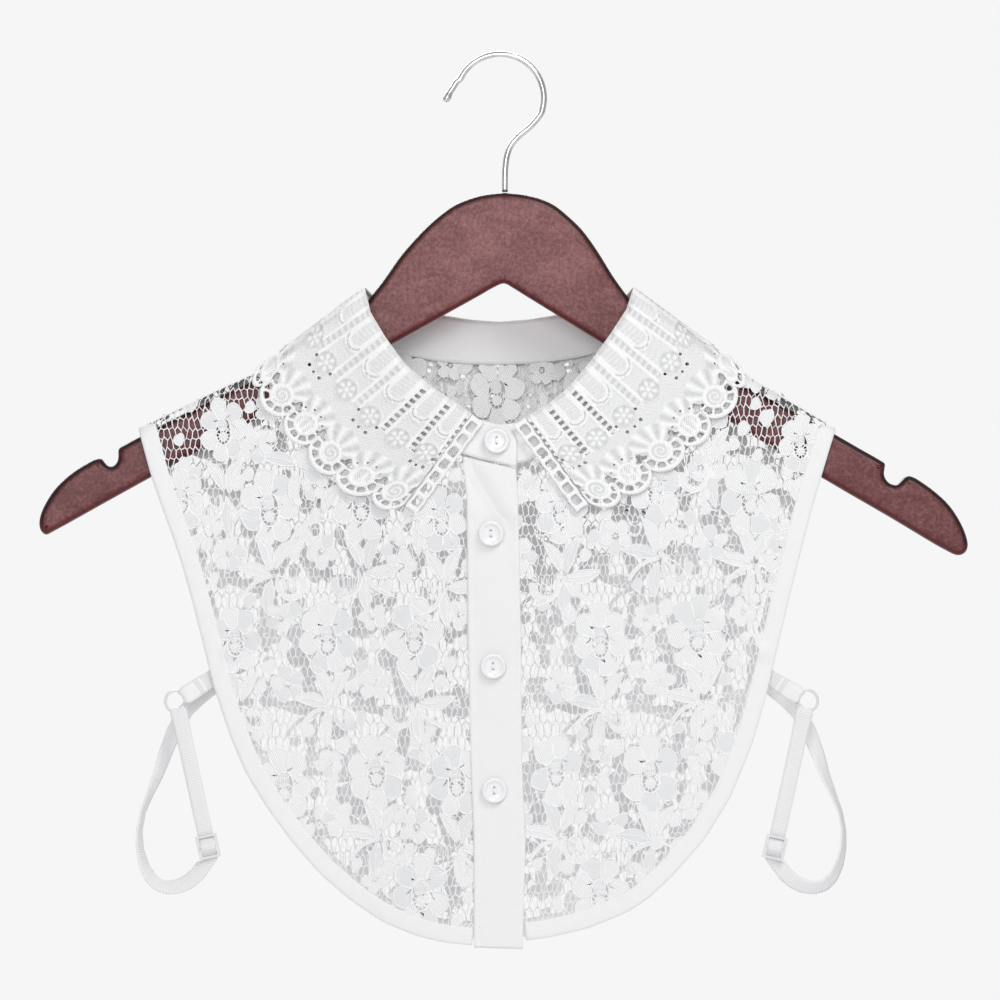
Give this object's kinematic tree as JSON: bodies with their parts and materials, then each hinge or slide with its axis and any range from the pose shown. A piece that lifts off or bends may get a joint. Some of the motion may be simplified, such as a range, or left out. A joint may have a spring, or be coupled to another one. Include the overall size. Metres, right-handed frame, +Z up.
{
  "type": "lace collar on a clothes hanger",
  "caption": "Detachable buttoned lace collar with turned-down scalloped collar, bound edges and side elastic straps, hung on a flat wooden clothes hanger.",
  "frame": {"origin": "the inside top of the hanger's hook, where it rests on a rod", "axes": "+X to the right as seen from the front, +Z up, the buttoned front faces -Y"},
  "size_m": [0.4454, 0.0583, 0.4302],
  "materials": {
    "net_lace": "floral net lace, matt",
    "guipure": "corded open-work lace, matt",
    "cotton": "plain weave, matt",
    "elastic": "ribbed elastic webbing",
    "button": "satin white",
    "fitting": "white coated",
    "mahogany": "satin mahogany lacquer",
    "chrome": "polished"
  },
  "bodies": {
    "root": {"hanger_wood": "mahogany", "hanger_hook": "chrome", "front_lace_left": "net_lace", "front_lace_right": "net_lace", "back_lace": "net_lace", "binding_front_left": "cotton", "binding_front_right": "cotton", "binding_back": "cotton", "placket_lap": "cotton", "placket_under": "cotton", "collar_stand": "cotton", "collar_leaf_left": "guipure", "collar_leaf_right": "guipure", "leaf_edging_left": "guipure", "leaf_edging_right": "guipure", "button_1": "button", "button_2": "button", "button_3": "button", "button_4": "button", "tab_left": "elastic", "tab_right": "elastic", "strap_left": "elastic", "strap_right": "elastic", "ring_left": "fitting", "ring_right": "fitting", "slider_left": "fitting", "slider_right": "fitting"}
  },
  "joints": []
}
